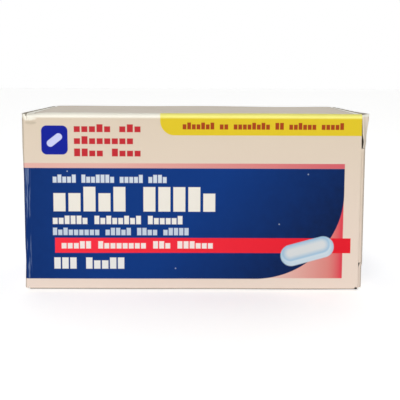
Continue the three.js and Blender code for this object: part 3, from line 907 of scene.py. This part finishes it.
def shoulder_place(u, curl_start, radius, lift):
    """Place on a raw shoulder, which curls in as the fold does. It is held open just above its slit."""
    held_open = max(0.0, 1 - lift / HELD_OPEN) if lift else 0.0
    turned = (curl_start - u) / radius * (1 - HELD_TURN * held_open)
    level = tuck_root.y + curl_start - FOLD_END
    return Vector((HALF_LENGTH - radius * (1 - math.cos(turned)), level - radius * math.sin(turned)))


def left_bulge(v):
    """How far the left flap bulges at a level: most near its top and foot, with a dent above the foot."""
    top = TOP_BULGE * min(1.0, max(0.0, (v - TOP_FROM) / TOP_RUN))
    foot = FOOT_BULGE * math.exp(-((v / DENT_REACH) ** 2))
    return LEFT_BULGE + top + foot - DENT * math.exp(-(((v - DENT_LEVEL) / DENT_REACH) ** 2))


def stands_out(u, v, side, lift):
    """How far the closing face stands out from flat at a point."""
    from_crease = closure.length - u
    sprung = SPRUNG * lift * min(1.0, max(0.0, 1 - (u - FOLD_END) / SPRUNG_RUN)) ** 2
    if side > 0:
        return sprung + RIGHT_BULGE * min(1.0, from_crease / RIGHT_RUN)
    settled = LEFT_FADED * min(1.0, from_crease / LEFT_FADE)
    return left_bulge(v) * min(1.0, from_crease / LEFT_RUN) * (1 - settled)


def flap_shape(u, v, side):
    """Place in x, y of a point of a flap's blank at the right end, with the wear of its own side."""
    lift = max(0.0, (v - HIGH_SLIT) / (HEIGHT - HIGH_SLIT)) if side > 0 else 0.0
    radius = FOLD_RADIUS + (LOW_FOLD if side > 0 and v < LOW_SLIT else SPRUNG_FOLD * lift)
    curl_start = FOLD_END + radius * LIP_TURN - SHOULDER
    on_closing_face = u > SHOULDER_EDGE - NEARLY
    if on_closing_face and in_slit(v) and u < curl_start:
        place = shoulder_place(u, curl_start, radius, lift)
    else:
        place, _ = closure.at(u)
    if on_closing_face:
        place.x += stands_out(u, v, side, lift)
    wave = noise.noise(Vector((u * FLAP_WAVES, v * FLAP_WAVES, side * FLAP_SEED)))
    place.x += wave * BOW * math.sin(math.pi * min(1.0, max(0.0, (u - FOLD_END) / closing_run)))
    return place


def flap_level(u, v):
    """Height of a point of a flap's blank. The upper corners are rubbed round."""
    from_end = min(closure.length - u, max(0.0, u - SHOULDER_EDGE))
    near_end = max(0.0, 1 - from_end / CORNER_REACH)
    near_top = max(0.0, 1 - (FLAP_TOP - v) / CORNER_REACH)
    return v - CORNER_DROP * near_end**2 * near_top


def end_flap(side, node, body):
    u_cuts = apart([*closure.cuts(PANEL_PITCH), TUCK_LENGTH - SLIT_BACK, SHOULDER_EDGE])
    v_cuts = apart(
        [*between(CLOSING_RELIEF, FLAP_TOP, FLAP_STEPS), FLAP_TOP]
        + [TUCK_LOW, TUCK_HIGH, LOW_SLIT, LOW_SLIT + SLIT_END, HIGH_SLIT, HIGH_SLIT - SLIT_END]
    )
    bm = sheet_blank(u_cuts, v_cuts)
    cut_away(bm, is_flap_waste)
    round_tuck(bm)
    for vert in bm.verts:
        u, v, _ = vert.co
        place = flap_shape(u, v, side) * side
        vert.co = (place.x, place.y, flap_level(u, v) if u > SHOULDER_EDGE - NEARLY else v)
    board_piece(node + "_board", bm, flap_print.material, node, body)


# The flaps take the bands of the panel that they are hinged on, up to a margin before the tuck. The sprung
# shoulder is painted pale: painted light on its curled lip, which turns away from the lamp.
flap_print = varnished("print on the end flaps")
from_hinge = HALF_DEPTH - flap_print.y * (flap_print.x.over(0.0) * 2 - 1)
on_flap = inside(2 * HALF_DEPTH - FLAP_MARGIN - from_hinge)
past_panel = flap_print.x * 0 - HALF_LENGTH
flap_colour = bands(flap_print, past_panel, cream(flap_print), on_flap)
# Painted light on the sprung shoulder's curled lip.
lit_shoulder = inside(flap_print.x - PANEL_END, softness=0.5) * inside(flap_print.z - HIGH_SLIT, softness=3.0)
lit_shoulder = lit_shoulder * inside(LIT_SHOULDER_REACH - HALF_DEPTH - flap_print.y, softness=0.6)
flap_colour = flap_print.mix(lit_shoulder * 0.8, flap_colour, ink("fff3e2"))
flap_print.feed(Base_Color=wear_and_painted_light(flap_print, flap_colour))

end_flap(-1, "left_end_flap", "left_flap")
end_flap(1, "right_end_flap", "right_flap")


# The creases. The same board, scored so that the flap bends there: a narrow strip between panel and flap.
CREASE_STEPS, CREASE_RISE_STEPS = 4, 30


def crease(side):
    foot, top = FOLD_RADIUS, HEIGHT - FOLD_RADIUS
    run_cuts = [*between(0.0, CREASE_WIDTH, CREASE_STEPS), CREASE_WIDTH]
    bm = sheet_blank(run_cuts, [*between(foot, top, CREASE_RISE_STEPS), top])
    for vert in bm.verts:
        u, v, _ = vert.co
        vert.co = (side * (PANEL_END + u), side * HALF_DEPTH, v)
    bmesh.ops.reverse_faces(bm, faces=bm.faces)
    strip = board_piece("left_crease" if side < 0 else "right_crease", bm, panel_print.material)
    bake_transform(strip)


crease(-1)
crease(1)


# Studio. A plain pale floor and one soft light from the front and above, as in the photograph. Neither is
# part of the carton.
FLOOR_HALF = 3.0
floor_blank = bmesh.new()
bmesh.ops.create_grid(floor_blank, x_segments=1, y_segments=1, size=FLOOR_HALF)
floor_mesh = bpy.data.meshes.new("floor")
floor_blank.to_mesh(floor_mesh)
floor_blank.free()
floor = bpy.data.objects.new("floor", floor_mesh)
bpy.context.scene.collection.objects.link(floor)
floor_finish = Finish("pale floor", Roughness=0.7, Emission_Color=(1, 1, 1, 1), Emission_Strength=0.5)
floor_finish.feed(Base_Color=floor_finish.mix(floor_finish.grain(0.01), ink("f3f3f2"), ink("f8f8f7")))
floor_mesh.materials.append(floor_finish.material)

LIGHT_PLACE, LIGHT_TARGET = Vector((-0.15, -0.85, 0.42)), Vector((0.0, 0.0, 0.03))
lamp = bpy.data.lights.new("front light", "AREA")
lamp.shape = "RECTANGLE"
lamp.size = 0.6
lamp.size_y = 0.25
lamp.energy = 3.9
light = bpy.data.objects.new("front light", lamp)
light.location = LIGHT_PLACE
light.rotation_euler = (LIGHT_TARGET - LIGHT_PLACE).to_track_quat("-Z", "Y").to_euler()
bpy.context.scene.collection.objects.link(light)

# The walls are white. Their light on the carton is full from behind it, and dim from above and the front.
DIM_WALL, FULL_FROM = 0.2, 0.6
world = bpy.data.worlds.new("studio")
bpy.context.scene.world = world
world.use_nodes = True
sky = world.node_tree
heading = sky.nodes.new("ShaderNodeTexCoord")
heading_apart = sky.nodes.new("ShaderNodeSeparateXYZ")
dimming = sky.nodes.new("ShaderNodeValToRGB")
dimming.color_ramp.elements[0].color = (DIM_WALL, DIM_WALL, DIM_WALL, 1.0)
dimming.color_ramp.elements[1].color = (1.0, 1.0, 1.0, 1.0)
dimming.color_ramp.elements[1].position = FULL_FROM
sky.links.new(heading.outputs["Generated"], heading_apart.inputs[0])
sky.links.new(heading_apart.outputs["Y"], dimming.inputs[0])
seen = sky.nodes.new("ShaderNodeLightPath")
wall = sky.nodes.new("ShaderNodeMix")
wall.data_type = "RGBA"
wall.inputs[7].default_value = (1.0, 1.0, 1.0, 1.0)
sky.links.new(seen.outputs["Is Camera Ray"], wall.inputs[0])
sky.links.new(dimming.outputs[0], wall.inputs[6])
sky.links.new(wall.outputs[2], sky.nodes["Background"].inputs["Color"])
sky.nodes["Background"].inputs["Strength"].default_value = 1.0
bpy.context.scene.view_settings.view_transform = "Standard"

# Camera. It stands at the photograph's viewing angle, in front of the middle of the carton and a little
# higher than its top.
FRAME_PIXELS = 400
FOCAL_PIXELS = 716.4
MIDDLE_ROW = 150.0
CAMERA_PLACE = (-0.0002, -0.2329, 0.0638)
LOOKS_DOWN, LEANS, TURNS = 6.02, -0.26, -0.47
camera_data = bpy.data.cameras.new("camera")
camera_data.sensor_width = 36.0
camera_data.lens = FOCAL_PIXELS / FRAME_PIXELS * camera_data.sensor_width
camera_data.shift_y = (MIDDLE_ROW - FRAME_PIXELS / 2) / FRAME_PIXELS
camera = bpy.data.objects.new("camera", camera_data)
camera.location = CAMERA_PLACE
camera.rotation_mode = "XYZ"
camera.rotation_euler = (math.radians(90 - LOOKS_DOWN), math.radians(LEANS), math.radians(TURNS))
bpy.context.scene.collection.objects.link(camera)
bpy.context.scene.camera = camera
